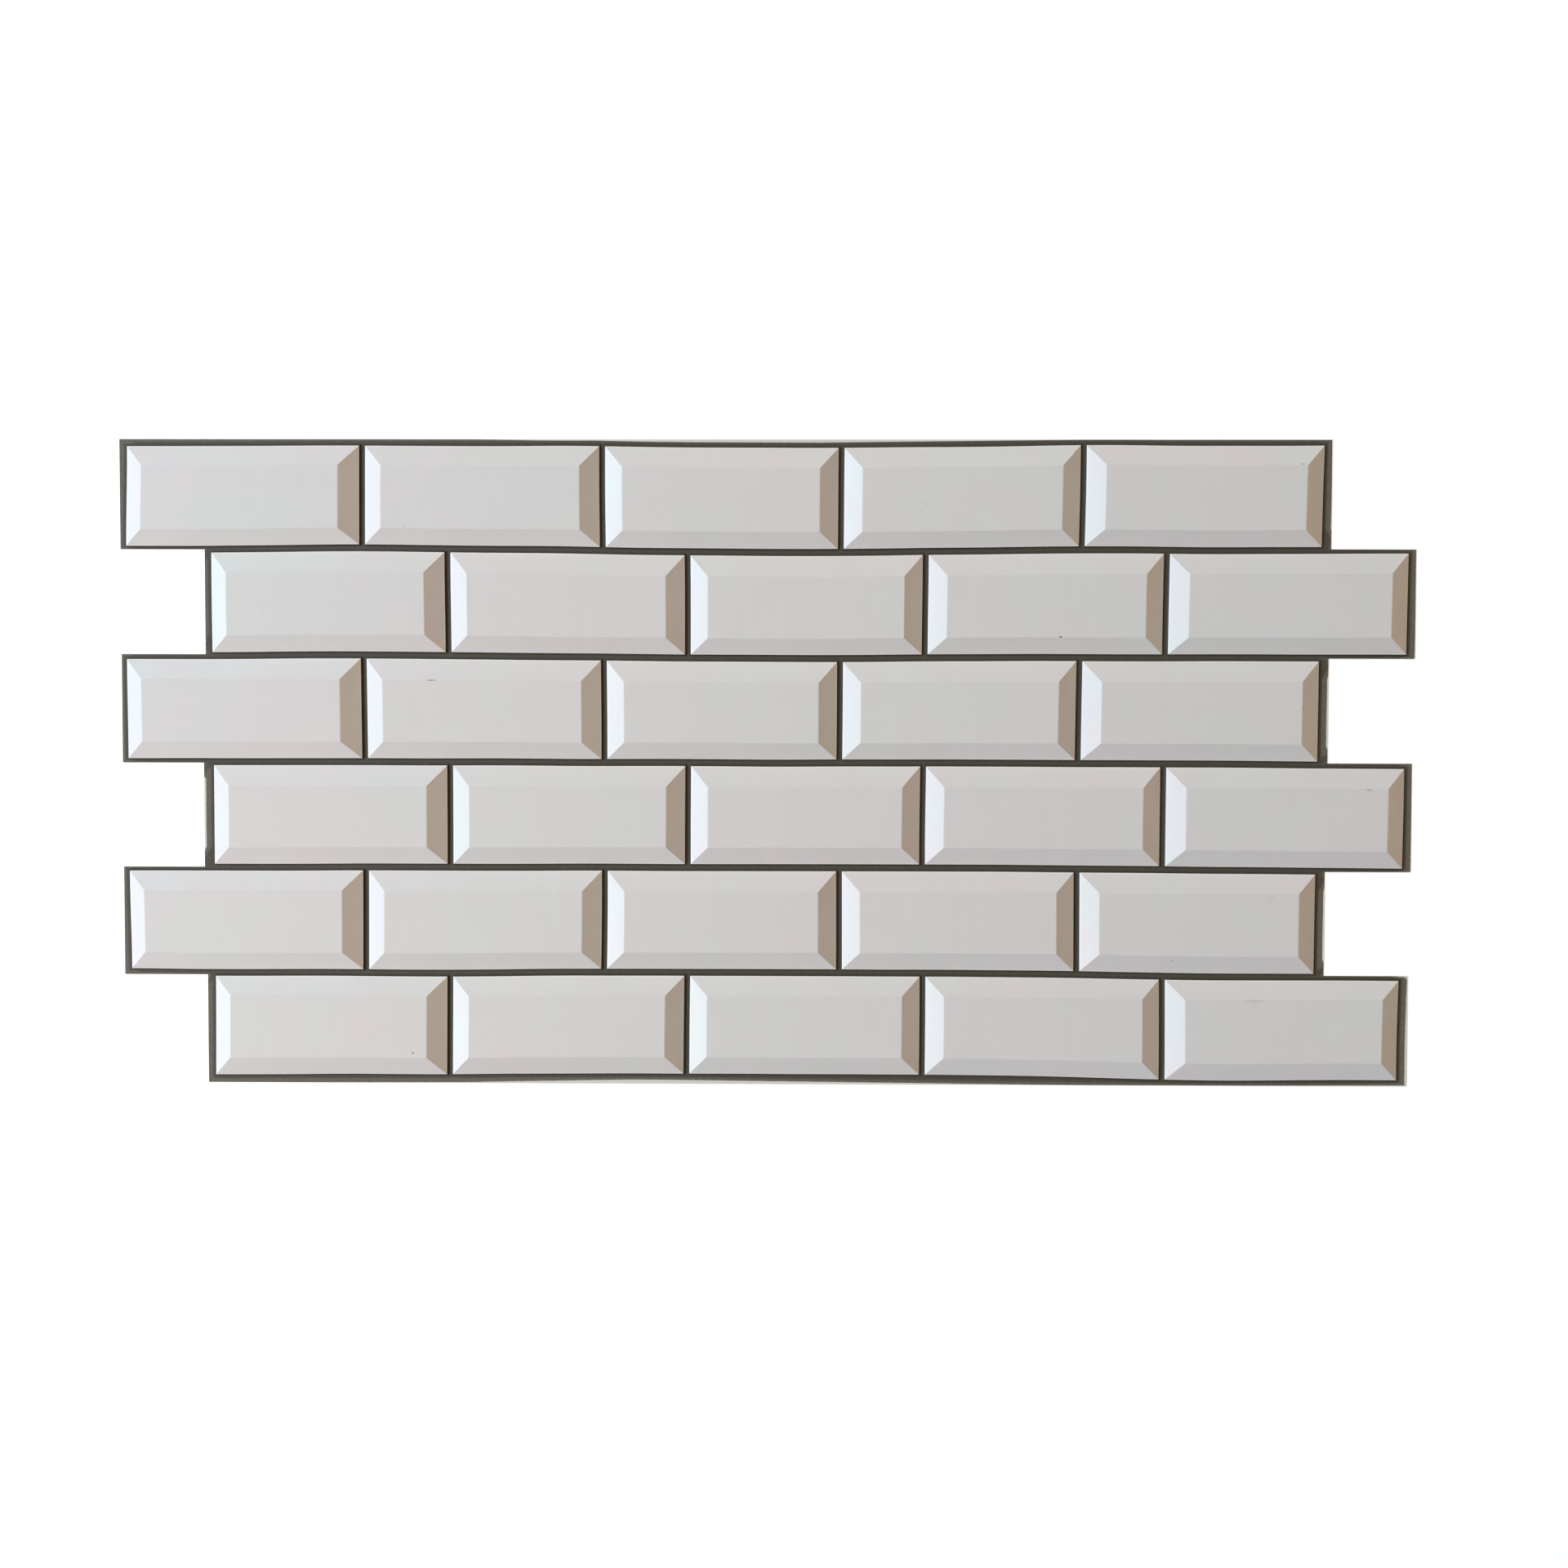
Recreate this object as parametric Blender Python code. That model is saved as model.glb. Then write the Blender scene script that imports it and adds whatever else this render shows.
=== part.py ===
"""A PVC wall panel formed to look like white bevelled tiles laid in a running bond.

The panel is one thin sheet, trimmed to a toothed outline and pressed up into hollow tiles.
It lies face up with its back on z = 0. X runs along the rows, Y up the wall and Z out of it.
Lengths are in metres, and the origin is under the middle of the outline.
"""

import math

import bmesh
import bpy

MM = 0.001

# Tiles and joints, measured over the faces at the top of each tile's side wall
TILE_LENGTH = 175.0 * MM
TILE_HEIGHT = 75.1 * MM
UPRIGHT_JOINT = 3.6 * MM
LEVEL_JOINT = 4.3 * MM
TILES_PER_ROW = 5
ROWS = 6
ROW_SHIFT = 63.4 * MM

# Bare sheet that the trimming leaves beyond the outer tiles
LEFT_FLANGE = 4.5 * MM
RIGHT_FLANGE = 5.9 * MM
TOP_FLANGE = 4.2 * MM
BOTTOM_FLANGE = 4.9 * MM
TOOTH_TOP_FLANGE = 2.8 * MM
TOOTH_BOTTOM_FLANGE = 3.0 * MM

# Section through the side of a tile, from the joint up to the face
SHEET_THICKNESS = 0.4 * MM
FOOT_RADIUS = 0.5 * MM
WALL_SLOPE = math.radians(75)
WALL_LENGTH = 0.5 * MM
LIP_RADIUS = 0.8 * MM
BEVEL_SLOPE = math.radians(23)
BEVEL_LENGTH = 13.8 * MM
CROWN_RADIUS = 2.0 * MM
ARC_FACETS = 3

# Colours as linear values, taken from the lit faces and the printed joints
PVC_COLOUR = (0.72, 0.71, 0.69, 1.0)
PRINT_COLOUR = (0.062, 0.058, 0.050, 1.0)


def clear_scene():
    for obj in list(bpy.data.objects):
        bpy.data.objects.remove(obj)


def material(name, colour, roughness):
    made = bpy.data.materials.new(name)
    made.use_nodes = True
    shader = made.node_tree.nodes["Principled BSDF"]
    shader.inputs["Base Color"].default_value = colour
    shader.inputs["Roughness"].default_value = roughness
    shader.inputs["Metallic"].default_value = 0.0
    return made


def walk(section, length):
    """Carries the section straight on at its present slope."""
    run, rise, slope = section[-1]
    section.append((run + length * math.cos(slope), rise + length * math.sin(slope), slope))


def bend(section, radius, new_slope):
    """Turns the section to a new slope along an arc. A fall in slope bends it outward."""
    run, rise, slope = section[-1]
    turn = new_slope - slope
    reach = math.copysign(radius, turn)
    for step in range(1, ARC_FACETS + 1):
        angle = slope + turn * step / ARC_FACETS
        along = reach * (math.sin(angle) - math.sin(slope))
        up = reach * (math.cos(slope) - math.cos(angle))
        section.append((run + along, rise + up, angle))


def foot_and_wall():
    """The printed part of a tile's side: the fillet out of the joint and the steep wall."""
    section = [(0.0, 0.0, 0.0)]
    bend(section, FOOT_RADIUS, WALL_SLOPE)
    walk(section, WALL_LENGTH)
    return section


def front_section():
    """The whole side of a tile on the front, as (run, rise, slope) at each station."""
    section = foot_and_wall()
    bend(section, LIP_RADIUS, BEVEL_SLOPE)
    walk(section, BEVEL_LENGTH)
    bend(section, CROWN_RADIUS, 0.0)
    return section


def back_section():
    """The same stations on the back, one sheet thickness square to the front."""
    section = []
    for run, rise, slope in front_section():
        inward = SHEET_THICKNESS * math.sin(slope)
        upward = SHEET_THICKNESS * (1.0 - math.cos(slope))
        section.append((run + inward, rise + upward, slope))
    return section


# A tile's foot lies outside its face by the run of the fillet and the wall
FOOT_REACH = foot_and_wall()[-1][0]
ROW_LENGTH = TILES_PER_ROW * TILE_LENGTH + (TILES_PER_ROW - 1) * UPRIGHT_JOINT
ROW_PITCH = TILE_HEIGHT + LEVEL_JOINT
PANEL_LENGTH = LEFT_FLANGE + ROW_LENGTH + ROW_SHIFT + RIGHT_FLANGE
PANEL_HEIGHT = ROWS * ROW_PITCH - LEVEL_JOINT + TOP_FLANGE + BOTTOM_FLANGE


def is_shifted(row):
    """Every second row, counted down from the top, is moved to the right."""
    return row % 2 == 1


def row_left(row):
    shift = ROW_SHIFT if is_shifted(row) else 0.0
    return LEFT_FLANGE - PANEL_LENGTH / 2 + shift


def row_top(row):
    return PANEL_HEIGHT / 2 - TOP_FLANGE - row * ROW_PITCH


def row_bottom(row):
    return row_top(row) - TILE_HEIGHT


def cut_below(row, on_right):
    """Level of the trimmed step under a row, which the longer of the two rows sets."""
    if row < 0:
        return PANEL_HEIGHT / 2
    if row == ROWS - 1:
        return -PANEL_HEIGHT / 2
    if is_shifted(row) == on_right:
        return row_bottom(row) - TOOTH_BOTTOM_FLANGE
    return row_top(row + 1) + TOOTH_TOP_FLANGE


def toothed_end(on_right):
    """Corners of one end of the outline, from the top down."""
    corners = []
    for row in range(ROWS):
        x = row_left(row) - LEFT_FLANGE
        if on_right:
            x = row_left(row) + ROW_LENGTH + RIGHT_FLANGE
        corners.append((x, cut_below(row - 1, on_right)))
        corners.append((x, cut_below(row, on_right)))
    return corners


def flat_blank():
    """The trimmed sheet as a flat plate of one thickness."""
    bm = bmesh.new()
    outline = toothed_end(False) + toothed_end(True)[::-1]
    face = bm.faces.new([bm.verts.new((x, y, 0.0)) for x, y in outline])
    raised = bmesh.ops.extrude_face_region(bm, geom=[face], use_keep_orig=True)
    top = [item for item in raised["geom"] if isinstance(item, bmesh.types.BMVert)]
    bmesh.ops.translate(bm, verts=top, vec=(0.0, 0.0, SHEET_THICKNESS))
    bmesh.ops.recalc_face_normals(bm, faces=bm.faces)
    return bm


def split(bm, faces, point, normal):
    """Cuts these faces of the plate along a plane square to it."""
    geometry = set(faces)
    for face in faces:
        geometry.update(face.edges)
        geometry.update(face.verts)
    bmesh.ops.bisect_plane(bm, geom=list(geometry), plane_co=point, plane_no=normal)


def faces_between(bm, low, high):
    return [face for face in bm.faces if low < face.calc_center_median().y < high]


def mark_tiles(bm):
    """Cuts the foot line of every tile into the plate, on its front and its back."""
    for row in range(ROWS):
        for level in (row_top(row) + FOOT_REACH, row_bottom(row) - FOOT_REACH):
            split(bm, bm.faces, (0.0, level, 0.0), (0.0, 1.0, 0.0))
    for row in range(ROWS):
        for column in range(TILES_PER_ROW):
            left = row_left(row) + column * (TILE_LENGTH + UPRIGHT_JOINT)
            for x in (left - FOOT_REACH, left + TILE_LENGTH + FOOT_REACH):
                band = faces_between(bm, row_bottom(row), row_top(row))
                split(bm, band, (x, 0.0, 0.0), (1.0, 0.0, 0.0))


def tile_faces(bm, facing):
    """The marked tiles on one side: every second face along each row, after the flange."""
    tiles = []
    for row in range(ROWS):
        band = faces_between(bm, row_bottom(row), row_top(row))
        side = [face for face in band if face.normal.z * facing > 0.5]
        side.sort(key=lambda face: face.calc_center_median().x)
        tiles += side[1::2]
    return tiles


def is_arc(section, station):
    return section[station][2] != section[station - 1][2]


def press(bm, tiles, section, facing, printed_stations):
    """Presses the tiles up out of the sheet, one ring of faces for each station."""
    for station in range(1, len(section)):
        run = section[station][0] - section[station - 1][0]
        rise = section[station][1] - section[station - 1][1]
        ring = bmesh.ops.inset_individual(
            bm,
            faces=tiles,
            thickness=run,
            depth=rise * facing,
            use_even_offset=True,
        )
        for face in ring["faces"]:
            face.smooth = is_arc(section, station)
            face.material_index = int(station <= printed_stations)


def tile_sheet():
    """The one piece: joints, flanges and thirty hollow tiles in a single sheet."""
    bm = flat_blank()
    mark_tiles(bm)
    front = tile_faces(bm, 1)
    back = tile_faces(bm, -1)
    webs = [face for face in bm.faces if face not in front and face not in back]
    bmesh.ops.triangulate(bm, faces=[face for face in webs if len(face.verts) > 4])
    bm.normal_update()
    for face in bm.faces:
        face.material_index = int(face.normal.z > 0.5)
    for face in front:
        face.material_index = 0
    press(bm, front, front_section(), 1, len(foot_and_wall()) - 1)
    press(bm, back, back_section(), -1, 0)
    mesh = bpy.data.meshes.new("tile_sheet")
    bm.to_mesh(mesh)
    bm.free()
    sheet = bpy.data.objects.new("tile_sheet", mesh)
    bpy.context.scene.collection.objects.link(sheet)
    sheet.data.materials.append(material("white_pvc", PVC_COLOUR, 0.3))
    sheet.data.materials.append(material("printed_joint", PRINT_COLOUR, 0.5))
    return sheet


clear_scene()
tile_sheet()
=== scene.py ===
# %% [markdown]
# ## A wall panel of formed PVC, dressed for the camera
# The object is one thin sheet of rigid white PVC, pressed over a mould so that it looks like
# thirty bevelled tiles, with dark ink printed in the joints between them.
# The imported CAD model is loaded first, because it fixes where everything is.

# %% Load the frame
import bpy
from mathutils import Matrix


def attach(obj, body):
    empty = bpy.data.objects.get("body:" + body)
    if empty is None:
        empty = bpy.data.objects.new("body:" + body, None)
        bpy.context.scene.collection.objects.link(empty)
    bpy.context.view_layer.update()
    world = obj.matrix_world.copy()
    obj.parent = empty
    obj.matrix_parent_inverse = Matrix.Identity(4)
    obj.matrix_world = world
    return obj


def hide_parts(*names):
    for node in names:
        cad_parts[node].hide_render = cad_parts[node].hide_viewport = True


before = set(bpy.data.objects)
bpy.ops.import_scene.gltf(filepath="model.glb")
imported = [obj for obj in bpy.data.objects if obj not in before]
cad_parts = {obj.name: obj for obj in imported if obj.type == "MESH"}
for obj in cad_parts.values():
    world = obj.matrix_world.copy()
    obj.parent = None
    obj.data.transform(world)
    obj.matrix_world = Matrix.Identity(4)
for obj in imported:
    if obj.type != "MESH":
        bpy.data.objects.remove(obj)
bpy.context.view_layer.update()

# %% [markdown]
# ## The tools of the lesson
# bmesh builds a mesh with the operators that Edit Mode has, and bpy reaches the rest of
# Blender. Blender counts in metres, and one factor turns the millimetres below into them.

# %% Bring in the tools
import math

import bmesh
import bpy
from mathutils import Vector, noise

MM = 0.001

# %% [markdown]
# ## The camera
# The panel lies face up, and the picture was taken from almost straight above with a wide
# lens, close enough for the tiles at both ends to show more of their inner bevels.
# A camera with a real position and a small tilt gives that. The top of the panel is a little
# nearer to it, and the small lens shift puts the panel where the picture frames it.

# %% Place the camera
camera_data = bpy.data.cameras.new("camera")
camera_data.type = "PERSP"
camera_data.sensor_width = 36.0
camera_data.lens = 25.89
camera_data.shift_x = -0.05
camera = bpy.data.objects.new("camera", camera_data)
camera.location = (74.8 * MM, 2.6 * MM, 841.6 * MM)
camera.rotation_euler = (math.radians(-1.21), math.radians(0.23), math.radians(0.15))
bpy.context.scene.collection.objects.link(camera)
bpy.context.scene.camera = camera
print("camera height in mm:", round(camera.location.z / MM, 1))

# %% [markdown]
# ## The sizes of the sheet
# Each size stands once, with a name that says what it is on the panel, and the places of
# the tiles are worked out from them. They are the sizes of the CAD sheet, so the dressed
# sheet fills the same box.

# %% Name the sizes
TILE_LENGTH = 175.0 * MM
TILE_HEIGHT = 75.1 * MM
UPRIGHT_JOINT = 3.6 * MM
LEVEL_JOINT = 4.3 * MM
TILES_PER_ROW = 5
ROWS = 6
ROW_SHIFT = 63.4 * MM

LEFT_FLANGE = 4.5 * MM
RIGHT_FLANGE = 5.9 * MM
TOP_FLANGE = 4.2 * MM
BOTTOM_FLANGE = 4.9 * MM
TOOTH_TOP_FLANGE = 2.8 * MM
TOOTH_BOTTOM_FLANGE = 3.0 * MM

SHEET_THICKNESS = 0.4 * MM
FOOT_RADIUS = 0.5 * MM
WALL_SLOPE = math.radians(75)
WALL_LENGTH = 0.5 * MM
LIP_RADIUS = 0.8 * MM
BEVEL_SLOPE = math.radians(23)
BEVEL_LENGTH = 13.8 * MM
CROWN_RADIUS = 2.0 * MM

# %% [markdown]
# ## The section of a tile's side
# Cut through, a tile's side starts flat in the joint, turns up in a small fillet, climbs a
# steep wall, rolls over a lip, runs up the long bevel and rolls into the flat face.
# The section is walked like a path: straight steps and turns, each starting where the last
# one ended. Every turn is divided finely, so that it shades as a round. Next to a turn the
# straight runs get a short step of their own, which keeps the shading of the long faces flat.

# %% Walk the section
FINE_TURN = math.radians(9)
HOLD = 0.25 * MM


def walk(section, length):
    """Carries the section straight on at its present slope."""
    run, rise, slope = section[-1]
    section.append((run + length * math.cos(slope), rise + length * math.sin(slope), slope))


def bend(section, radius, new_slope):
    """Turns the section to a new slope along an arc. A fall in slope bends it outward."""
    run, rise, slope = section[-1]
    turn = new_slope - slope
    reach = math.copysign(radius, turn)
    steps = math.ceil(abs(turn) / FINE_TURN)
    for step in range(1, steps + 1):
        angle = slope + turn * step / steps
        along = reach * (math.sin(angle) - math.sin(slope))
        up = reach * (math.cos(slope) - math.cos(angle))
        section.append((run + along, rise + up, angle))


section = [(0.0, 0.0, 0.0)]
walk(section, HOLD)
bend(section, FOOT_RADIUS, WALL_SLOPE)
walk(section, WALL_LENGTH)
FOOT_REACH = section[-1][0]
bend(section, LIP_RADIUS, BEVEL_SLOPE)
PRINTED_STATIONS = len(section) - 2
walk(section, HOLD)
walk(section, BEVEL_LENGTH / 2 - HOLD)
walk(section, BEVEL_LENGTH / 2 - HOLD)
walk(section, HOLD)
bend(section, CROWN_RADIUS, 0.0)
SIDE_REACH = section[-1][0] - FOOT_REACH
SIDE_RISE = section[-1][1]
walk(section, HOLD)
print("stations in the section:", len(section))
print("side in mm:", round(SIDE_REACH / MM, 2), "in and", round(SIDE_RISE / MM, 2), "up")

# %% [markdown]
# ## Where the tiles are
# The rows are counted down from the top, and every second one is moved to the right by less
# than half a tile. The ends of the panel are cut to teeth that follow the rows, so that the
# next panel can lock into them. The outline is a short list of corners worked out from sizes.
# The teeth weren't all cut to the same depth: a row's end can lie up to three millimetres off
# the pattern, and two short lists hold how far to the right each one is moved, in
# millimetres. The cut along the top drops a little to the left.

# %% Place the rows and the outline
ROW_LENGTH = TILES_PER_ROW * TILE_LENGTH + (TILES_PER_ROW - 1) * UPRIGHT_JOINT
ROW_PITCH = TILE_HEIGHT + LEVEL_JOINT
TILE_PITCH = TILE_LENGTH + UPRIGHT_JOINT
PANEL_LENGTH = LEFT_FLANGE + ROW_LENGTH + ROW_SHIFT + RIGHT_FLANGE
PANEL_HEIGHT = ROWS * ROW_PITCH - LEVEL_JOINT + TOP_FLANGE + BOTTOM_FLANGE


def is_shifted(row):
    return row % 2 == 1


def row_left(row):
    return LEFT_FLANGE - PANEL_LENGTH / 2 + (ROW_SHIFT if is_shifted(row) else 0.0)


def row_top(row):
    return PANEL_HEIGHT / 2 - TOP_FLANGE - row * ROW_PITCH


def row_bottom(row):
    return row_top(row) - TILE_HEIGHT


def tile_left(row, column):
    return row_left(row) + column * TILE_PITCH


TOP_CUT_DROP = 0.8 * MM


def cut_below(row, on_right):
    """Level of the trimmed step under a row, which the longer of the two rows sets."""
    if row < 0:
        return PANEL_HEIGHT / 2 - (0.0 if on_right else TOP_CUT_DROP)
    if row == ROWS - 1:
        return -PANEL_HEIGHT / 2
    if is_shifted(row) == on_right:
        return row_bottom(row) - TOOTH_BOTTOM_FLANGE
    return row_top(row + 1) + TOOTH_TOP_FLANGE


LEFT_CUTS_OFF = (0.0, -0.6, 0.0, -2.7, 0.0, -1.2)
RIGHT_CUTS_OFF = (0.4, 0.0, -0.6, -1.2, -1.7, -2.3)


def toothed_end(on_right):
    """Corners of one end of the outline, from the top down."""
    corners = []
    for row in range(ROWS):
        x = row_left(row) - LEFT_FLANGE + LEFT_CUTS_OFF[row] * MM
        if on_right:
            x = row_left(row) + ROW_LENGTH + RIGHT_FLANGE + RIGHT_CUTS_OFF[row] * MM
        corners.append((x, cut_below(row - 1, on_right)))
        corners.append((x, cut_below(row, on_right)))
    return corners


outline = toothed_end(False) + toothed_end(True)[::-1]
print("outline corners:", len(outline))
print("panel in mm:", round(PANEL_LENGTH / MM, 1), "by", round(PANEL_HEIGHT / MM, 1))

# %% [markdown]
# ## The flat sheet, cut up
# The real sheet starts flat and is drawn over a mould, and the mesh is made the same way.
# It starts as one flat face with the toothed outline. Planes cut it along the foot of every
# tile and along the middle of every joint, and that marks the tiles.

# %% Lay out the flat sheet
SAME_PLACE = 0.01 * MM
ACROSS = (1.0, 0.0, 0.0)
UPWARD = (0.0, 1.0, 0.0)
sheet_bm = bmesh.new()
blank = sheet_bm.faces.new(
    [sheet_bm.verts.new((x, y, SHEET_THICKNESS)) for x, y in outline]
)
blank.normal_update()
print("blank in square metres:", round(blank.calc_area(), 4), "facing", round(blank.normal.z))


def cut(faces, point, normal):
    """Cuts only these faces along a plane, and returns what they have become."""
    geometry = dict.fromkeys(faces)
    for face in faces:
        geometry.update(dict.fromkeys(face.edges))
        geometry.update(dict.fromkeys(face.verts))
    made = bmesh.ops.bisect_plane(
        sheet_bm, geom=list(geometry), dist=SAME_PLACE, plane_co=point, plane_no=normal
    )
    return [item for item in made["geom"] if isinstance(item, bmesh.types.BMFace)]


def faces_between(low, high):
    return [face for face in sheet_bm.faces if low < face.calc_center_median().y < high]


# %% Cut it along the rows
for row in range(ROWS):
    for level in (row_top(row) + FOOT_REACH, row_bottom(row) - FOOT_REACH):
        cut(sheet_bm.faces, (0.0, level, 0.0), UPWARD)
    if row < ROWS - 1:
        cut(sheet_bm.faces, (0.0, row_bottom(row) - LEVEL_JOINT / 2, 0.0), UPWARD)
print("strips across the panel:", len(sheet_bm.faces))


# %% Cut the rows into tiles
def band(row):
    """The faces of one row, out to the middle of the joints above and below it."""
    return faces_between(row_bottom(row) - LEVEL_JOINT / 2, row_top(row) + LEVEL_JOINT / 2)


tiles = []
for row in range(ROWS):
    for column in range(1, TILES_PER_ROW):
        cut(band(row), (tile_left(row, column) - UPRIGHT_JOINT / 2, 0.0, 0.0), ACROSS)
    for column in range(TILES_PER_ROW):
        left = tile_left(row, column)
        for x in (left - FOOT_REACH, left + TILE_LENGTH + FOOT_REACH):
            cut(faces_between(row_bottom(row), row_top(row)), (x, 0.0, 0.0), ACROSS)
    for face in faces_between(row_bottom(row), row_top(row)):
        middle = face.calc_center_median().x
        column = int((middle - row_left(row)) / TILE_PITCH)
        left = tile_left(row, column)
        if left < middle < left + TILE_LENGTH and middle > row_left(row):
            tiles.append(face)
print("tiles marked:", len(tiles))

# %% [markdown]
# ## Pressing the tiles up
# Each tile face is inset again and again, one ring for each station of the section, and
# lifted as it shrinks. Inset keeps the corners mitred at 45 degrees, as on a real bevelled
# tile, with no vertex placed by hand. The ink covers the rings of the fillet, the wall and
# most of the lip, and the rest stays white.

# %% Press the tiles, ring by ring
WHITE, PRINTED, BACK, BACK_UNDER_PRINT, CUT_EDGE = range(5)
for face in sheet_bm.faces:
    face.material_index = PRINTED
for face in tiles:
    face.material_index = WHITE
for station in range(1, len(section)):
    run = section[station][0] - section[station - 1][0]
    rise = section[station][1] - section[station - 1][1]
    ring = bmesh.ops.inset_individual(
        sheet_bm, faces=tiles, thickness=run, depth=rise, use_even_offset=True
    )
    for face in ring["faces"]:
        face.material_index = PRINTED if station <= PRINTED_STATIONS else WHITE
print("faces after pressing:", len(sheet_bm.faces))

# %% [markdown]
# ## Giving the long faces somewhere to bend
# A long face with vertices only at its ends can't bow. Planes that pass between the mitres
# cut every tile, and the joint beside it, into cells of about twelve millimetres. They stop
# short of the mitres, so the corners stay clean.

# %% Divide the tiles into cells
CELLS_ALONG = 12
CELLS_UP = 4
FACE_LENGTH = TILE_LENGTH - 2 * SIDE_REACH
FACE_HEIGHT = TILE_HEIGHT - 2 * SIDE_REACH


def clamp(value, low, high):
    return min(max(value, low), high)


for row in range(ROWS):
    columns = [[] for column in range(TILES_PER_ROW)]
    for face in band(row):
        middle = face.calc_center_median().x
        column = int((middle - row_left(row) + UPRIGHT_JOINT / 2) // TILE_PITCH)
        columns[clamp(column, 0, TILES_PER_ROW - 1)].append(face)
    for column, cell in enumerate(columns):
        start = tile_left(row, column) + SIDE_REACH
        for step in range(CELLS_ALONG + 1):
            cell = cut(cell, (start + FACE_LENGTH * step / CELLS_ALONG, 0.0, 0.0), ACROSS)
        start = row_bottom(row) + SIDE_REACH
        for step in range(CELLS_UP + 1):
            cell = cut(cell, (0.0, start + FACE_HEIGHT * step / CELLS_UP, 0.0), UPWARD)
print("faces after dividing:", len(sheet_bm.faces))

# %% [markdown]
# ## How the rows drifted
# Nothing about a formed sheet stays exactly straight. Its middle draws in as it cools, and the
# rows sway by a millimetre or so. One function gives the move of any point, which it first
# scales to run from -1 to 1 over the panel. It adds up the draw-in, the sway, an even
# shrinkage and a fine wobble from smooth noise. Blender seeds that noise from the clock, so a
# seed of our own keeps the wobble the same in every run.
# A table holds the places where the warm sheet crept most: the middle of each place, how wide
# it is, and how far the sheet moved there along the row and up, all in millimetres.

# %% Drift of the rows
HALF_LENGTH = 480.0 * MM
HALF_HEIGHT = 240.0 * MM
DRAW_IN = 4.2 * MM
SWAY = 0.9 * MM
SLANT, CURL, SHIFT_LEFT = 1.4, 0.85, 1.83
ARCH, TWIST, SHIFT_UP = 0.6, 0.5, 0.67
SHRINK = 0.002
WOBBLE = 0.25 * MM
WOBBLE_LENGTH = 70.0 * MM
WOBBLE_SEED = 1
CREEPS = (
    (330, -240, 65, 1.8, -2.5),
    (-300, 150, 65, -1.0, 1.7),
    (-120, 0, 65, 1.3, 0.0),
    (150, -60, 65, -1.4, 0.4),
    (240, 210, 45, 0.9, 1.4),
    (30, 120, 65, -0.1, -1.3),
    (-480, 240, 45, 2.2, -0.6),
    (480, -30, 65, 0.8, -0.7),
    (-240, -180, 45, -0.3, -0.9),
    (-120, -120, 45, 1.1, 0.1),
    (-480, -150, 30, 0.8, 0.9),
    (480, -210, 45, -1.0, -0.4),
    (-150, 210, 45, -0.3, 1.2),
    (-90, 120, 45, 0.9, -0.6),
    (-480, -220, 60, 1.2, 0.0),
)
noise.seed_set(WOBBLE_SEED)


def drift(x, y):
    """How far the formed sheet lies from its ideal place at a point."""
    across, up = x / HALF_LENGTH, y / HALF_HEIGHT
    pull = across ** 2 + up ** 2 / 4 - 1.0
    move = Vector((DRAW_IN * across * pull, DRAW_IN / 2 * up * pull, 0.0))
    fan = across ** 2 * (1.0 + up)
    move.x += SWAY * (SLANT * across * up + fan + CURL * up ** 3 - SHIFT_LEFT)
    move.y += SWAY * (SHIFT_UP - ARCH * across ** 2 + TWIST * across * up * (1.0 + up))
    move -= SHRINK * Vector((x, y, 0.0))
    wobble = noise.noise_vector(Vector((x, y, 0.0)) / WOBBLE_LENGTH)
    move.x += WOBBLE * wobble.x
    move.y += WOBBLE * wobble.y
    for middle_x, middle_y, width, crept_along, crept_up in CREEPS:
        away = math.hypot(x - middle_x * MM, y - middle_y * MM) / (width * MM)
        move += math.exp(-away ** 2 / 2) * MM * Vector((crept_along, crept_up, 0.0))
    return move


print("drift in the middle in mm:", [round(part / MM, 2) for part in drift(0.0, 0.0)])

# %% [markdown]
# ## Where a point lies
# Three measures of a point on the flat sheet are needed next. The knife that trims the outline
# is straight, so a point has to know how far it is from the cut. The print follows the tiles,
# so it has to know how far it lies past the nearest tile. And the flat faces move on their
# own, so it has to know where it is on such a face.

# %% Three measures of a point
def room_to_cut(x, y):
    """Distance from a point to the nearest side of the outline."""
    nearest = PANEL_LENGTH
    for index, (ax, ay) in enumerate(outline):
        bx, by = outline[index - 1]
        dx = max(min(ax, bx) - x, 0.0, x - max(ax, bx))
        dy = max(min(ay, by) - y, 0.0, y - max(ay, by))
        nearest = min(nearest, math.hypot(dx, dy))
    return nearest


def past_tile(x, y):
    """How far a point lies past the nearest tile, along the row and across it."""
    best = (PANEL_LENGTH, PANEL_LENGTH)
    for row in range(ROWS):
        across = max(row_bottom(row) - y, 0.0, y - row_top(row))
        if across > ROW_PITCH / 2:
            continue
        for column in range(TILES_PER_ROW):
            left = tile_left(row, column)
            along = max(left - x, 0.0, x - left - TILE_LENGTH)
            if max(along, across) < max(best):
                best = (along, across)
    return best


def place_on_face(x, y):
    """Where a point lies on its tile's flat face: -1 to 1 along it, and 0 to 1 up it."""
    row = int((row_top(0) + LEVEL_JOINT / 2 - y) / ROW_PITCH)
    row = clamp(row, 0, ROWS - 1)
    column = int((x - row_left(row) + UPRIGHT_JOINT / 2) / TILE_PITCH)
    column = clamp(column, 0, TILES_PER_ROW - 1)
    along = (x - tile_left(row, column) - SIDE_REACH) / FACE_LENGTH
    up = (y - row_bottom(row) - SIDE_REACH) / FACE_HEIGHT
    return 2.0 * clamp(along, 0.0, 1.0) - 1.0, clamp(up, 0.0, 1.0)


print("room in the middle in mm:", round(room_to_cut(0.0, 0.0) / MM, 1))

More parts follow.
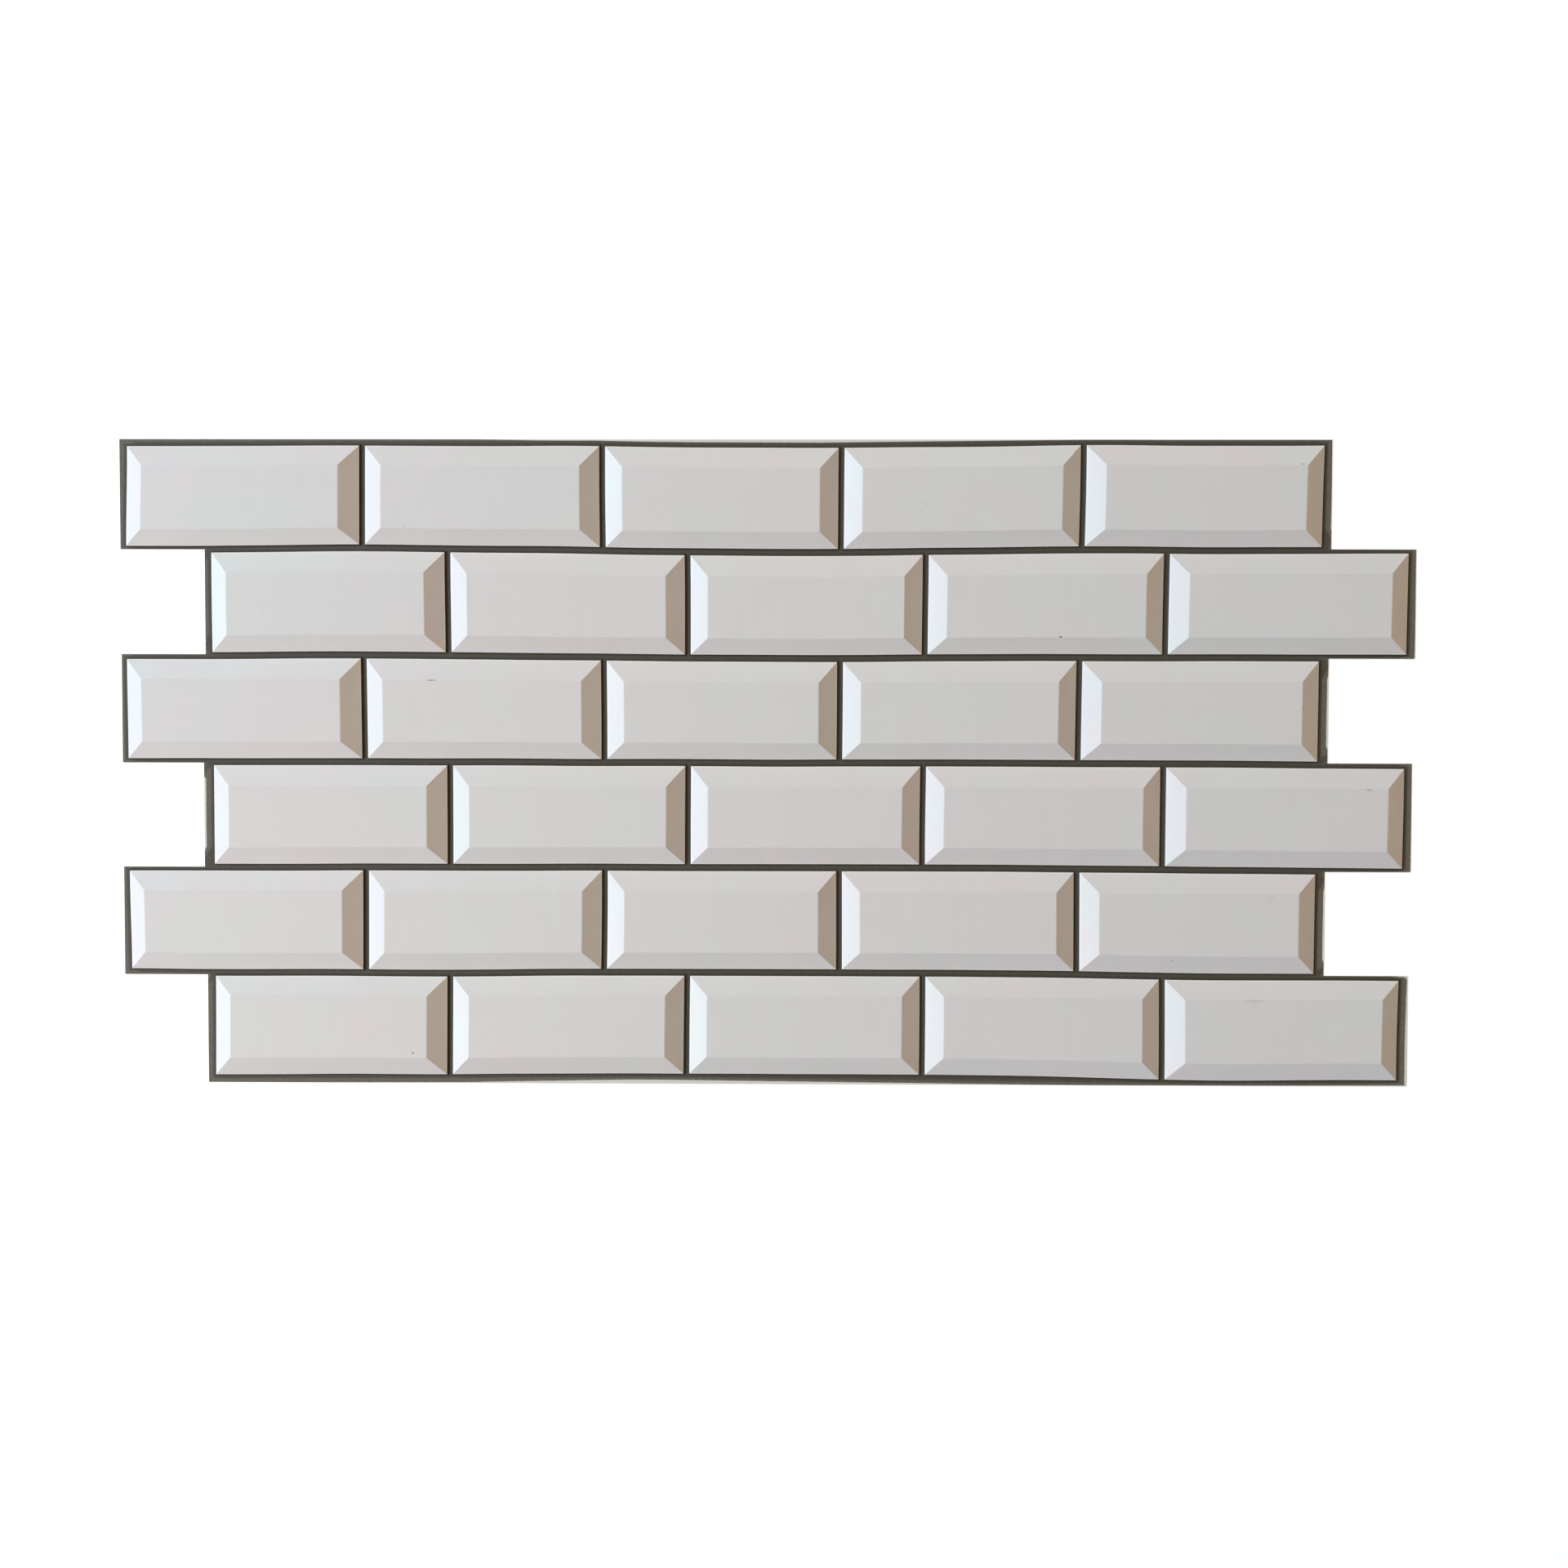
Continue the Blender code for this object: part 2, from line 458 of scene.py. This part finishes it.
# %% [markdown]
# ## How far the ink reaches
# The ink of the joints runs on a few millimetres past the outer tiles, and then the bare sheet
# shows. Past the ends of the rows its reach is the same everywhere. Above and below the rows
# it grows towards both ends of the panel, to the left of the middle and under the last row.

# %% Reach of the ink
INK_PAST_ENDS = 6.4 * MM
INK_PAST_ROWS = 3.3 * MM
INK_SPREAD = 3.5 * MM
INK_EXTRA_BELOW = 1.3 * MM
INK_EXTRA_LEFT = 2.0 * MM
LEFT_RAMP_START = 100 * MM
LEFT_RAMP_LENGTH = 200 * MM


def ink_past_rows(x, y):
    """How far the ink reaches above or below the rows at a point."""
    reach = INK_PAST_ROWS + INK_SPREAD * (x / HALF_LENGTH) ** 4
    reach += INK_EXTRA_LEFT * clamp((-x - LEFT_RAMP_START) / LEFT_RAMP_LENGTH, 0.0, 1.0)
    if y < row_bottom(ROWS - 1):
        reach += INK_EXTRA_BELOW
    return reach


print("reach above the middle in mm:", round(ink_past_rows(0.0, HALF_HEIGHT) / MM, 1))

# %% [markdown]
# ## How a thin sheet settles
# Now every vertex moves. The drift fades out over the last two millimetres before the cut, so
# the cut stays straight. The flat faces sink a little between their crowns. They also came out
# a little small, and low on their tiles in the upper rows, which makes the bevel above a face
# wider than the one below, most of all in the middle of the sheet.
# Each vertex keeps how far it lies past its own tile, along the row and across it, and how
# much of the ink's reach that takes up. The print, and the painted shade at the foot of each
# tile, read this later.

# %% Let the sheet settle
FADE = 2.0 * MM
SINK = 0.18 * MM
SINK_LENGTH = 0.8 * WOBBLE_LENGTH
NOISE_LAYER = 0.5
LEAN = 1.0 * MM
LEAN_GROWTH = 1.9 * MM
TOP_PULL = 2.3 * MM
TOP_PULL_FALL = 1.4 * MM
END_PULL = 0.5 * MM

past_layer = sheet_bm.verts.layers.float_vector.new("past_tile")
largest = 0.0
for vert in sheet_bm.verts:
    x, y, z = vert.co
    held = min(1.0, room_to_cut(x, y) / FADE)
    move = drift(x, y)
    along, across = past_tile(x - (1.0 - held) * move.x, y - (1.0 - held) * move.y)
    share = max(along / INK_PAST_ENDS, across / ink_past_rows(x, y))
    vert[past_layer] = (along, across, share)
    vert.co += held * move
    height = (z - SHEET_THICKNESS) / SIDE_RISE
    along_face, up_face = place_on_face(x, y)
    vert.co.x -= END_PULL * along_face * height
    off_middle = (x / HALF_LENGTH) ** 2 + (y / HALF_HEIGHT) ** 2
    pull = (TOP_PULL - TOP_PULL_FALL * off_middle) * up_face
    vert.co.y -= (LEAN + LEAN_GROWTH * y / HALF_HEIGHT + pull) * height
    wave = 0.5 + 0.5 * noise.noise(Vector((x, y, NOISE_LAYER)) / SINK_LENGTH)
    vert.co.z -= SINK * wave * height ** 4
    largest = max(largest, (held * move).length)
print("largest drift in mm:", round(largest / MM, 2))

# %% [markdown]
# ## Smooth rounds, sharp mitres and one wall thickness
# Every face is shaded smooth, and only edges with a real corner stay sharp: the mitres
# where two bevels meet. The Solidify modifier then gives the skin its back, 0.4 mm below,
# with the thickness kept even around the bends. It also puts the bare back and the cut edge
# in their own material slots.

# %% Make the sheet
SHARP_ANGLE = math.radians(20)
ROUNDING_ROOM = 0.001 * MM
for face in sheet_bm.faces:
    face.smooth = True
sheet_bm.normal_update()
for edge in sheet_bm.edges:
    edge.smooth = edge.calc_face_angle(math.pi) < SHARP_ANGLE
panel_mesh = bpy.data.meshes.new("bevelled_tile_sheet")
sheet_bm.to_mesh(panel_mesh)
sheet_bm.free()
panel = bpy.data.objects.new("bevelled_tile_sheet", panel_mesh)
bpy.context.scene.collection.objects.link(panel)

wall = panel.modifiers.new("wall", "SOLIDIFY")
wall.thickness = SHEET_THICKNESS - ROUNDING_ROOM
wall.offset = -1.0
wall.use_even_offset = True
wall.use_quality_normals = True
wall.material_offset = BACK - WHITE
wall.material_offset_rim = CUT_EDGE - PRINTED
print("faces in the skin:", len(panel_mesh.polygons))

# %% [markdown]
# ## Three helpers for materials
# Colours are picked as sRGB hex values, as a paint chart gives them, and the shader wants
# them linear. One function turns them. The next adds a node, sets it and links it, so that
# each material below reads as a short recipe, and the last starts a material.
# A Mix node names its sockets alike for numbers and colours, so the colour ones are called by
# number. Noise stays mostly between 0.3 and 0.7, which is the range that the recipes spread.

# %% Helpers for colour and nodes
MIX_A, MIX_B, MIXED = 6, 7, 2
NOISE_LOW, NOISE_HIGH = 0.3, 0.7


def linear(hex_colour):
    """An sRGB hex colour as linear red, green, blue and alpha."""
    channels = [int(hex_colour[at:at + 2], 16) / 255 for at in (1, 3, 5)]
    straight = [c / 12.92 if c <= 0.04045 else ((c + 0.055) / 1.055) ** 2.4 for c in channels]
    return straight + [1.0]


def add(tree, kind, inputs, **settings):
    """Adds a node with its settings, then fills each socket with a value or a link."""
    made = tree.nodes.new(kind)
    for name, value in settings.items():
        setattr(made, name, value)
    for socket, value in inputs.items():
        if isinstance(value, bpy.types.NodeSocket):
            tree.links.new(value, made.inputs[socket])
        else:
            made.inputs[socket].default_value = value
    return made


def new_material(name):
    """An empty material, with its Principled shader and the object's own coordinates."""
    made = bpy.data.materials.new(name)
    made.use_nodes = True
    tree = made.node_tree
    shader = tree.nodes["Principled BSDF"]
    place = add(tree, "ShaderNodeTexCoord", {}).outputs["Object"]
    return made, tree, shader, place


print("a mid grey in linear values:", round(linear("#808080")[0], 3))

# %% [markdown]
# ## Rigid PVC sheet, calendered and vacuum formed
# The sheet is rolled between steel rollers and drawn warm over the mould. Rolling leaves a
# satin face with faint lines along the roll, which run up the panel. Drawing leaves the flat
# faces very slightly uneven. The eye sees an even, soft shine, a bright thin rim round each
# tile, and patches of warmer and cooler white a hand wide. The rim is a painted highlight:
# the lip is painted a lighter white.
# The real roll lines are about 0.1 mm apart. They are drawn at 2.5 mm, so that they show.

# %% Satin white PVC: warm and cool patches
PATCH_SIZE = 150 * MM
CLOUD_SIZE = 35 * MM
COOL_FROM, WARM_FROM = 0.8, 1.2

white_pvc, tree, shader, place = new_material("satin_white_pvc")
patches = add(
    tree, "ShaderNodeTexNoise", {"Vector": place, "Scale": 1 / PATCH_SIZE, "Detail": 1.0}
)
clouds = add(
    tree, "ShaderNodeTexNoise", {"Vector": place, "Scale": 1 / CLOUD_SIZE, "Detail": 3.0}
)
warmth = add(
    tree, "ShaderNodeMath", {0: patches.outputs["Fac"], 1: clouds.outputs["Fac"]},
    operation="ADD",
)
warm_part = add(
    tree, "ShaderNodeMapRange",
    {"Value": warmth.outputs[0], "From Min": COOL_FROM, "From Max": WARM_FROM},
)
tint = add(
    tree, "ShaderNodeMix",
    {0: warm_part.outputs["Result"], MIX_A: linear("#dcdcda"), MIX_B: linear("#e0dada")},
    data_type="RGBA",
)
print("patches and clouds in mm:", round(PATCH_SIZE / MM), round(CLOUD_SIZE / MM))

# %% [markdown]
# ## Roll lines and the painted highlight on the lip
# Noise that is stretched along the roll gives the faint lines, and they shade the white by
# less than one per cent. The lip is painted a lighter white, a painted highlight for the
# bright rim round each tile. The highlight is read from the height above the back, where it
# starts just over the ink and fades out up the bevel.

# %% Satin white PVC: lines and lip
LINE_SPACING = 2.5 * MM
LINE_LENGTH = 160 * MM
LINE_DARK, LINE_PALE = 0.992, 1.006
LIP_FOOT = SHEET_THICKNESS + section[PRINTED_STATIONS][1]
# Heights at which the painted highlight on the lip is full and where it has faded out.
HIGHLIGHT_FULL_TO = LIP_FOOT + 0.05 * MM
HIGHLIGHT_ENDS = LIP_FOOT + 0.5 * MM

along_roll = add(
    tree, "ShaderNodeMapping",
    {"Vector": place, "Scale": (1 / LINE_SPACING, 1 / LINE_LENGTH, 1 / LINE_LENGTH)},
)
roll_lines = add(
    tree, "ShaderNodeTexNoise",
    {"Vector": along_roll.outputs["Vector"], "Scale": 1.0, "Detail": 2.0},
)
line_shade = add(
    tree, "ShaderNodeMapRange",
    {"Value": roll_lines.outputs["Fac"], "From Min": NOISE_LOW, "From Max": NOISE_HIGH,
     "To Min": LINE_DARK, "To Max": LINE_PALE},
)
lined = add(
    tree, "ShaderNodeVectorMath",
    {0: tint.outputs[MIXED], "Scale": line_shade.outputs["Result"]}, operation="SCALE",
)
height = add(tree, "ShaderNodeSeparateXYZ", {"Vector": place}).outputs["Z"]
# Painted highlight: the lip is painted a lighter white just over the ink, fading up the bevel.
lip_highlight_mask = add(
    tree, "ShaderNodeMapRange",
    {"Value": height, "From Min": HIGHLIGHT_FULL_TO, "From Max": HIGHLIGHT_ENDS,
     "To Min": 1.0, "To Max": 0.0},
    interpolation_type="SMOOTHSTEP",
)
# The lighter white mixed in here is the painted highlight of the bright rim on the lip.
highlighted_lip = add(
    tree, "ShaderNodeMix",
    {0: lip_highlight_mask.outputs["Result"], MIX_A: lined.outputs[0], MIX_B: linear("#ece9e5")},
    data_type="RGBA",
)
print("white lip starts", round(LIP_FOOT / MM, 2), "mm above the back")

# %% [markdown]
# ## Small marks of handling
# The sheet isn't new-looking everywhere: a few specks of dirt and short scuffs lie on it,
# most of them on the edges of the flat faces, where sheets rub in a stack. Each mark is an
# ellipse at a place on the panel. The nodes measure how far a point is from its middle, in
# half-lengths and half-widths, and darken what lies inside.
# A line of the table holds the middle of a mark, its half-length and half-width, all in
# millimetres, and how strongly it darkens.

# %% Satin white PVC: marks
DIRT = "#3b3430"
MARK_RIM, MARK_CORE = 1.2, 0.3
MARKS = (
    (-266.9, 174.4, 0.9, 0.9, 0.35),
    (-262.9, -216.3, 0.8, 1.2, 0.65),
    (-247.9, 60.9, 3.8, 0.6, 0.60),
    (217.4, 93.8, 1.3, 0.9, 0.75),
    (118.2, 191.3, 1.1, 1.3, 0.12),
    (316.9, 220.9, 12.0, 0.5, 0.10),
    (394.6, 221.1, 1.6, 0.6, 0.45),
    (426.1, 139.2, 5.0, 0.5, 0.16),
    (446.0, -18.5, 3.2, 0.6, 0.40),
    (396.6, 41.3, 0.5, 2.2, 0.30),
    (363.2, -175.4, 9.6, 0.6, 0.26),
    (375.1, -98.3, 1.6, 1.4, 0.10),
    (301.8, -145.8, 0.9, 0.9, 0.30),
)
marked = highlighted_lip.outputs[MIXED]
for x, y, half_length, half_width, strength in MARKS:
    offset = add(
        tree, "ShaderNodeVectorMath", {0: place, 1: (x * MM, y * MM, 0.0)},
        operation="SUBTRACT",
    )
    scaled = add(
        tree, "ShaderNodeVectorMath",
        {0: offset.outputs[0], 1: (1 / (half_length * MM), 1 / (half_width * MM), 0.0)},
        operation="MULTIPLY",
    )
    reach = add(tree, "ShaderNodeVectorMath", {0: scaled.outputs[0]}, operation="LENGTH")
    inside = add(
        tree, "ShaderNodeMapRange",
        {"Value": reach.outputs["Value"], "From Min": MARK_RIM, "From Max": MARK_CORE,
         "To Min": 0.0, "To Max": strength},
    )
    marked = add(
        tree, "ShaderNodeMix",
        {0: inside.outputs["Result"], MIX_A: marked, MIX_B: linear(DIRT)},
        data_type="RGBA",
    ).outputs[MIXED]
tree.links.new(marked, shader.inputs["Base Color"])
print("marks on the sheet:", len(MARKS))

# %% [markdown]
# ## The shine and the relief of the PVC
# Rigid PVC has an IOR of about 1.54. Its satin face is moderately rough, a little more in
# some patches than in others. Two reliefs sit on it: the roll lines, and the slow unevenness
# that forming leaves.

# %% Satin white PVC: shine and relief
PVC_IOR = 1.54
SATIN_LOW, SATIN_HIGH = 0.46, 0.54
LINE_RELIEF = 0.005 * MM
CLOUD_RELIEF = 0.15 * MM

rough = add(
    tree, "ShaderNodeMapRange",
    {"Value": clouds.outputs["Fac"], "From Min": NOISE_LOW, "From Max": NOISE_HIGH,
     "To Min": SATIN_LOW, "To Max": SATIN_HIGH},
)
tree.links.new(rough.outputs["Result"], shader.inputs["Roughness"])
shader.inputs["IOR"].default_value = PVC_IOR
shader.inputs["Specular IOR Level"].default_value = 0.3
line_bump = add(
    tree, "ShaderNodeBump",
    {"Height": roll_lines.outputs["Fac"], "Distance": LINE_RELIEF},
)
cloud_bump = add(
    tree, "ShaderNodeBump",
    {"Height": clouds.outputs["Fac"], "Distance": CLOUD_RELIEF,
     "Normal": line_bump.outputs["Normal"]},
)
tree.links.new(cloud_bump.outputs["Normal"], shader.inputs["Normal"])
print("nodes in the white PVC:", len(tree.nodes))

# %% [markdown]
# ## Joint ink, printed matt on the sheet
# The joints are coloured with a matt dark ink. Next to the foot of each tile the ink is
# painted darker, a painted shade for the crease where the joint meets the tile, and it is
# browner in the middle of the joint. It thins out to a lighter brown on the flange, and it
# ends a few millimetres past the outer tiles. Where the rows have drifted in from the knife's
# straight cut, bare sheet shows beyond it.

# %% Printed joint: colour of the ink
# The painted shade next to each tile's foot is full up to the first distance and gone by the
# second.
FOOT_SHADE_FADE_STARTS, FOOT_SHADE_FADE_ENDS = 0.5 * MM, 1.7 * MM
THIN_STARTS, THIN_ENDS = 2.0 * MM, 3.6 * MM
MOTTLE_SIZE = 3 * MM
MOTTLE_DARK, MOTTLE_PALE = 0.88, 1.1

printed_joint, tree, shader, place = new_material("printed_joint")
past = add(tree, "ShaderNodeAttribute", {}, attribute_name="past_tile")
split_past = add(tree, "ShaderNodeSeparateXYZ", {"Vector": past.outputs["Vector"]})
farthest = add(
    tree, "ShaderNodeMath",
    {0: split_past.outputs["X"], 1: split_past.outputs["Y"]}, operation="MAXIMUM",
)
# Painted shade: the ink is painted darker within about a millimetre of each tile's foot.
foot_shade_fade = add(
    tree, "ShaderNodeMapRange",
    {"Value": farthest.outputs[0], "From Min": FOOT_SHADE_FADE_STARTS, "From Max": FOOT_SHADE_FADE_ENDS},
    interpolation_type="SMOOTHSTEP",
)
ink_and_foot_shade = add(
    tree, "ShaderNodeMix",
    {0: foot_shade_fade.outputs["Result"], MIX_A: linear("#3e3a35"), MIX_B: linear("#4a453b")},
    data_type="RGBA",
)
thinned = add(
    tree, "ShaderNodeMapRange",
    {"Value": farthest.outputs[0], "From Min": THIN_STARTS, "From Max": THIN_ENDS},
    interpolation_type="SMOOTHSTEP",
)
ink_and_foot_shade = add(
    tree, "ShaderNodeMix",
    {0: thinned.outputs["Result"], MIX_A: ink_and_foot_shade.outputs[MIXED], MIX_B: linear("#655f54")},
    data_type="RGBA",
)
mottle = add(
    tree, "ShaderNodeTexNoise", {"Vector": place, "Scale": 1 / MOTTLE_SIZE, "Detail": 3.0}
)
mottle_shade = add(
    tree, "ShaderNodeMapRange",
    {"Value": mottle.outputs["Fac"], "From Min": NOISE_LOW, "From Max": NOISE_HIGH,
     "To Min": MOTTLE_DARK, "To Max": MOTTLE_PALE},
)
mottled = add(
    tree, "ShaderNodeVectorMath",
    {0: ink_and_foot_shade.outputs[MIXED], "Scale": mottle_shade.outputs["Result"]}, operation="SCALE",
)
print("mottling of the ink in mm:", round(MOTTLE_SIZE / MM, 1))

# %% [markdown]
# ## Where the ink ends
# The ink ends where its whole reach is used up. Adding a little of the mottling to that share
# makes the edge ragged, and a short ramp keeps it soft. The ink is duller than the sheet.

# %% Printed joint: edge and finish
RAGGEDNESS = 0.06
INK_ENDS, BARE_STARTS = 1.0, 1.06
INK_RELIEF = 0.03 * MM

ragged = add(
    tree, "ShaderNodeMath",
    {0: mottle.outputs["Fac"], 1: RAGGEDNESS, 2: split_past.outputs["Z"]},
    operation="MULTIPLY_ADD",
)
beyond = add(
    tree, "ShaderNodeMapRange",
    {"Value": ragged.outputs[0], "From Min": INK_ENDS, "From Max": BARE_STARTS},
)
joint_colour = add(
    tree, "ShaderNodeMix",
    {0: beyond.outputs["Result"], MIX_A: mottled.outputs[0], MIX_B: linear("#dcd9d0")},
    data_type="RGBA",
)
tree.links.new(joint_colour.outputs[MIXED], shader.inputs["Base Color"])
shader.inputs["Roughness"].default_value = 0.65
shader.inputs["IOR"].default_value = 1.5
shader.inputs["Specular IOR Level"].default_value = 0.25
ink_bump = add(
    tree, "ShaderNodeBump", {"Height": mottle.outputs["Fac"], "Distance": INK_RELIEF}
)
tree.links.new(ink_bump.outputs["Normal"], shader.inputs["Normal"])
print("nodes in the joint ink:", len(tree.nodes))

# %% [markdown]
# ## The bare back and the cut edge
# The back is the same PVC without ink. It lay away from the mould, so it keeps the dull
# embossed face of the roll, a fine even grain. The real grain is about 0.3 mm. It is drawn
# at 1.5 mm, so that it shows.

# %% Bare PVC back
GRAIN = 1.5 * MM
GRAIN_RELIEF = 0.08 * MM
DULL_LOW, DULL_HIGH = 0.5, 0.65

bare_back, tree, shader, place = new_material("bare_pvc_back")
back_clouds = add(
    tree, "ShaderNodeTexNoise", {"Vector": place, "Scale": 1 / PATCH_SIZE, "Detail": 4.0}
)
back_tint = add(
    tree, "ShaderNodeMix",
    {0: back_clouds.outputs["Fac"], MIX_A: linear("#cfcecb"), MIX_B: linear("#dbd8d2")},
    data_type="RGBA",
)
tree.links.new(back_tint.outputs[MIXED], shader.inputs["Base Color"])
grain = add(tree, "ShaderNodeTexNoise", {"Vector": place, "Scale": 1 / GRAIN, "Detail": 1.0})
back_rough = add(
    tree, "ShaderNodeMapRange",
    {"Value": grain.outputs["Fac"], "From Min": NOISE_LOW, "From Max": NOISE_HIGH,
     "To Min": DULL_LOW, "To Max": DULL_HIGH},
)
tree.links.new(back_rough.outputs["Result"], shader.inputs["Roughness"])
shader.inputs["IOR"].default_value = PVC_IOR
grain_bump = add(
    tree, "ShaderNodeBump", {"Height": grain.outputs["Fac"], "Distance": GRAIN_RELIEF}
)
tree.links.new(grain_bump.outputs["Normal"], shader.inputs["Normal"])

# %% Give each part of the sheet its finish
finishes = {
    WHITE: white_pvc,
    PRINTED: printed_joint,
    BACK: bare_back,
    BACK_UNDER_PRINT: bare_back,
    CUT_EDGE: bare_back,
}
for index in sorted(finishes):
    panel.data.materials.append(finishes[index])
print("finishes on the sheet:", [finish.name for finish in panel.data.materials])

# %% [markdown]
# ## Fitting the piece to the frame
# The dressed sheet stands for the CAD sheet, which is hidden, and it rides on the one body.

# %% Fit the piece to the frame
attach(panel, "root")
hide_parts("tile_sheet")

# %% [markdown]
# ## Floor and background
# A pale floor carries the panel and keeps its soft shadow. It lies a hair below the back, so
# that the two never share a plane. A strength below 1 of plain white is added to what the
# floor shows, but only for rays that come straight from the camera, from a reflection or
# through glass, so the background turns white and no extra light reaches the panel. The
# strength grows to 1 away from the panel, which hides where the floor ends.

# %% Floor
FLOOR_REACH = 6.0
FLOOR_DROP = 0.1 * MM

floor_bm = bmesh.new()
bmesh.ops.create_grid(floor_bm, x_segments=1, y_segments=1, size=FLOOR_REACH)
bmesh.ops.translate(floor_bm, verts=floor_bm.verts, vec=(0.0, 0.0, -FLOOR_DROP))
floor_mesh = bpy.data.meshes.new("floor")
floor_bm.to_mesh(floor_mesh)
floor_bm.free()
floor = bpy.data.objects.new("floor", floor_mesh)
bpy.context.scene.collection.objects.link(floor)
print("floor reaches", FLOOR_REACH, "m out and lies", FLOOR_DROP / MM, "mm below the back")


# %% White that only the camera, mirrors and glass see
NEAR_GLOW, FAR_GLOW = 0.38, 1.0
GLOW_GROWS_FROM, GLOW_FULL_AT = 1.0, 3.0


def seen_directly(tree):
    """1 for rays from the camera, a mirror or glass, and 0 for rays that carry light."""
    rays = add(tree, "ShaderNodeLightPath", {})
    seen = rays.outputs["Is Camera Ray"]
    for kind in ("Is Glossy Ray", "Is Transmission Ray"):
        either = add(
            tree, "ShaderNodeMath", {0: seen, 1: rays.outputs[kind]}, operation="MAXIMUM"
        )
        seen = either.outputs[0]
    return seen


pale_floor, tree, shader, place = new_material("pale_floor")
shader.inputs["Base Color"].default_value = linear("#f2f2f0")
shader.inputs["Roughness"].default_value = 0.9
shader.inputs["Emission Color"].default_value = linear("#ffffff")
away = add(tree, "ShaderNodeVectorMath", {0: place}, operation="LENGTH")
wanted = add(
    tree, "ShaderNodeMapRange",
    {"Value": away.outputs["Value"], "From Min": GLOW_GROWS_FROM, "From Max": GLOW_FULL_AT,
     "To Min": NEAR_GLOW, "To Max": FAR_GLOW},
    interpolation_type="SMOOTHSTEP",
)
glow = add(
    tree, "ShaderNodeMath", {0: seen_directly(tree), 1: wanted.outputs["Result"]},
    operation="MULTIPLY",
)
tree.links.new(glow.outputs[0], shader.inputs["Emission Strength"])
floor.data.materials.append(pale_floor)

# %% [markdown]
# ## Light
# Cool daylight comes from the left, low enough for the left bevels to be the brightest faces
# and the right ones the darkest. Three large lamps stand side by side there, like a row of
# windows. Two are far off, so that their light falls off little along the panel. The third,
# at the lower left, is nearer and warmer, and so the panel darkens towards the lower right.
# What bounces about the room is warm: a soft lamp at the top, a small one past the right end,
# another close above the left half and a weak world give that, and they turn the shaded right
# bevels beige. Area lamps were chosen over a sun because their soft edges round the shading
# off. A lamp's bearing is 0 at the right of the panel and 90 at its top, and its rise is its
# angle above the floor, both in degrees. Distances and sizes are in metres, powers in watts.

# %% Lamps
DAYLIGHT = "#b8e3ff"
PALE_DAYLIGHT = "#fff9fb"
WARM_BOUNCE = "#ffbf45"
WINDOW_SIZE = (7.0, 4.0)


def lamp(name, bearing, rise, distance, size, power, colour):
    """Hangs a soft lamp that faces the middle of the panel."""
    data = bpy.data.lights.new(name, "AREA")
    data.shape = "RECTANGLE"
    data.size, data.size_y = size
    data.energy = power
    data.color = linear(colour)[:3]
    made = bpy.data.objects.new(name, data)
    across = distance * math.cos(math.radians(rise))
    made.location = (
        across * math.cos(math.radians(bearing)),
        across * math.sin(math.radians(bearing)),
        distance * math.sin(math.radians(rise)),
    )
    made.rotation_euler = (-made.location).to_track_quat("-Z", "Y").to_euler()
    bpy.context.scene.collection.objects.link(made)
    print(name, "hangs", round(made.location.z, 2), "metres up")


lamp("window_left", 180, 28, 13.0, WINDOW_SIZE, 300, DAYLIGHT)
lamp("window_upper_left", 150, 31, 13.0, WINDOW_SIZE, 1570, DAYLIGHT)
lamp("window_lower_left", 210, 28, 6.0, (3.2, 1.8), 208, PALE_DAYLIGHT)
lamp("bounce_top", 90, 32, 6.0, (4.0, 2.5), 110, WARM_BOUNCE)
lamp("bounce_right", 0, 14, 2.0, (1.2, 0.6), 3.6, WARM_BOUNCE)
lamp("bounce_near", 210, 62, 1.4, (0.8, 0.8), 2.6, WARM_BOUNCE)

# %% [markdown]
# ## The room
# The world stands for the room's walls. It sheds a very weak warm light, and the same switch
# as on the floor shows it white to the camera, mirrors and glass. The Standard view keeps a
# colour as it was written.

# %% World
ROOM_LIGHT = 0.01

world = bpy.data.worlds.new("studio")
bpy.context.scene.world = world
world.use_nodes = True
tree = world.node_tree
room_light = tree.nodes["Background"]
room_light.inputs["Color"].default_value = linear("#ffce95")
room_light.inputs["Strength"].default_value = ROOM_LIGHT
backdrop = add(tree, "ShaderNodeBackground", {"Color": linear("#ffffff"), "Strength": 1.0})
seen = add(
    tree, "ShaderNodeMixShader",
    {0: seen_directly(tree), 1: room_light.outputs[0], 2: backdrop.outputs[0]},
)
tree.links.new(seen.outputs[0], tree.nodes["World Output"].inputs["Surface"])

bpy.context.scene.view_settings.view_transform = "Standard"
